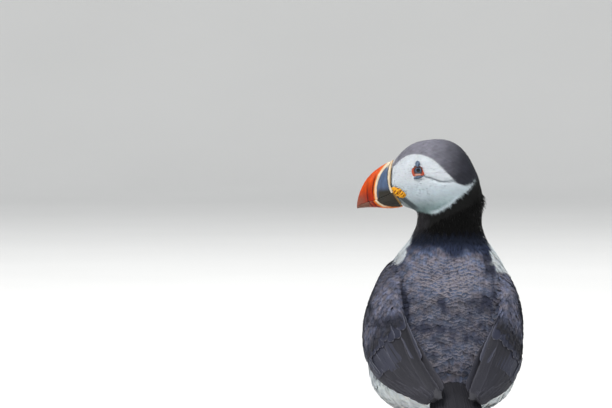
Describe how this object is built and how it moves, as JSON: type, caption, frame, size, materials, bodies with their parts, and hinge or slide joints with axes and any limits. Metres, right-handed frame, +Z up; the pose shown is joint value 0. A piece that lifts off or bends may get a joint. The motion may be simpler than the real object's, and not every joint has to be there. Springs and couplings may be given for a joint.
{
  "type": "standing puffin",
  "caption": "Life-size Atlantic puffin standing upright on webbed feet, wings folded, head turned to its left.",
  "frame": {"origin": "on the floor, below the middle of the bird's outline", "axes": "+Z up from the soles to the crown, +Y out from the breast, +X to the bird's right"},
  "size_m": [0.1182, 0.1342, 0.2324],
  "materials": {
    "face_feathers": "short soft grey-white feathers",
    "black_feathers": "close black feathers with a slight sheen",
    "white_feathers": "soft white feathers",
    "wing_feathers": "worn grey-black vanes with paler edges",
    "bill_horn": "satin horn with grooves",
    "bill_ridge": "dull cream horn with pits",
    "gape_skin": "wrinkled yellow-orange skin",
    "eye_plates": "dull blue-grey horn",
    "eyes": "wet dark eye",
    "leg_skin": "scaled orange skin",
    "claws": "dark horn"
  },
  "bodies": {
    "root": {"head": "face_feathers", "neck": "black_feathers", "back": "black_feathers", "trunk": "white_feathers", "thigh_l": "white_feathers", "thigh_r": "white_feathers", "wing_l": "wing_feathers", "wing_r": "wing_feathers", "wing_tip_l": "wing_feathers", "wing_tip_r": "wing_feathers", "tail": "black_feathers", "bill_upper": "bill_horn", "bill_lower": "bill_horn", "bill_ridge": "bill_ridge", "gape_l": "gape_skin", "gape_r": "gape_skin", "brow_plate_l": "eye_plates", "brow_plate_r": "eye_plates", "lid_plate_l": "eye_plates", "lid_plate_r": "eye_plates", "eye_l": "eyes", "eye_r": "eyes", "shank_l": "leg_skin", "shank_r": "leg_skin", "foot_l": "leg_skin", "foot_r": "leg_skin", "claw_inner_l": "claws", "claw_inner_r": "claws", "claw_middle_l": "claws", "claw_middle_r": "claws", "claw_outer_l": "claws", "claw_outer_r": "claws"}
  },
  "joints": []
}
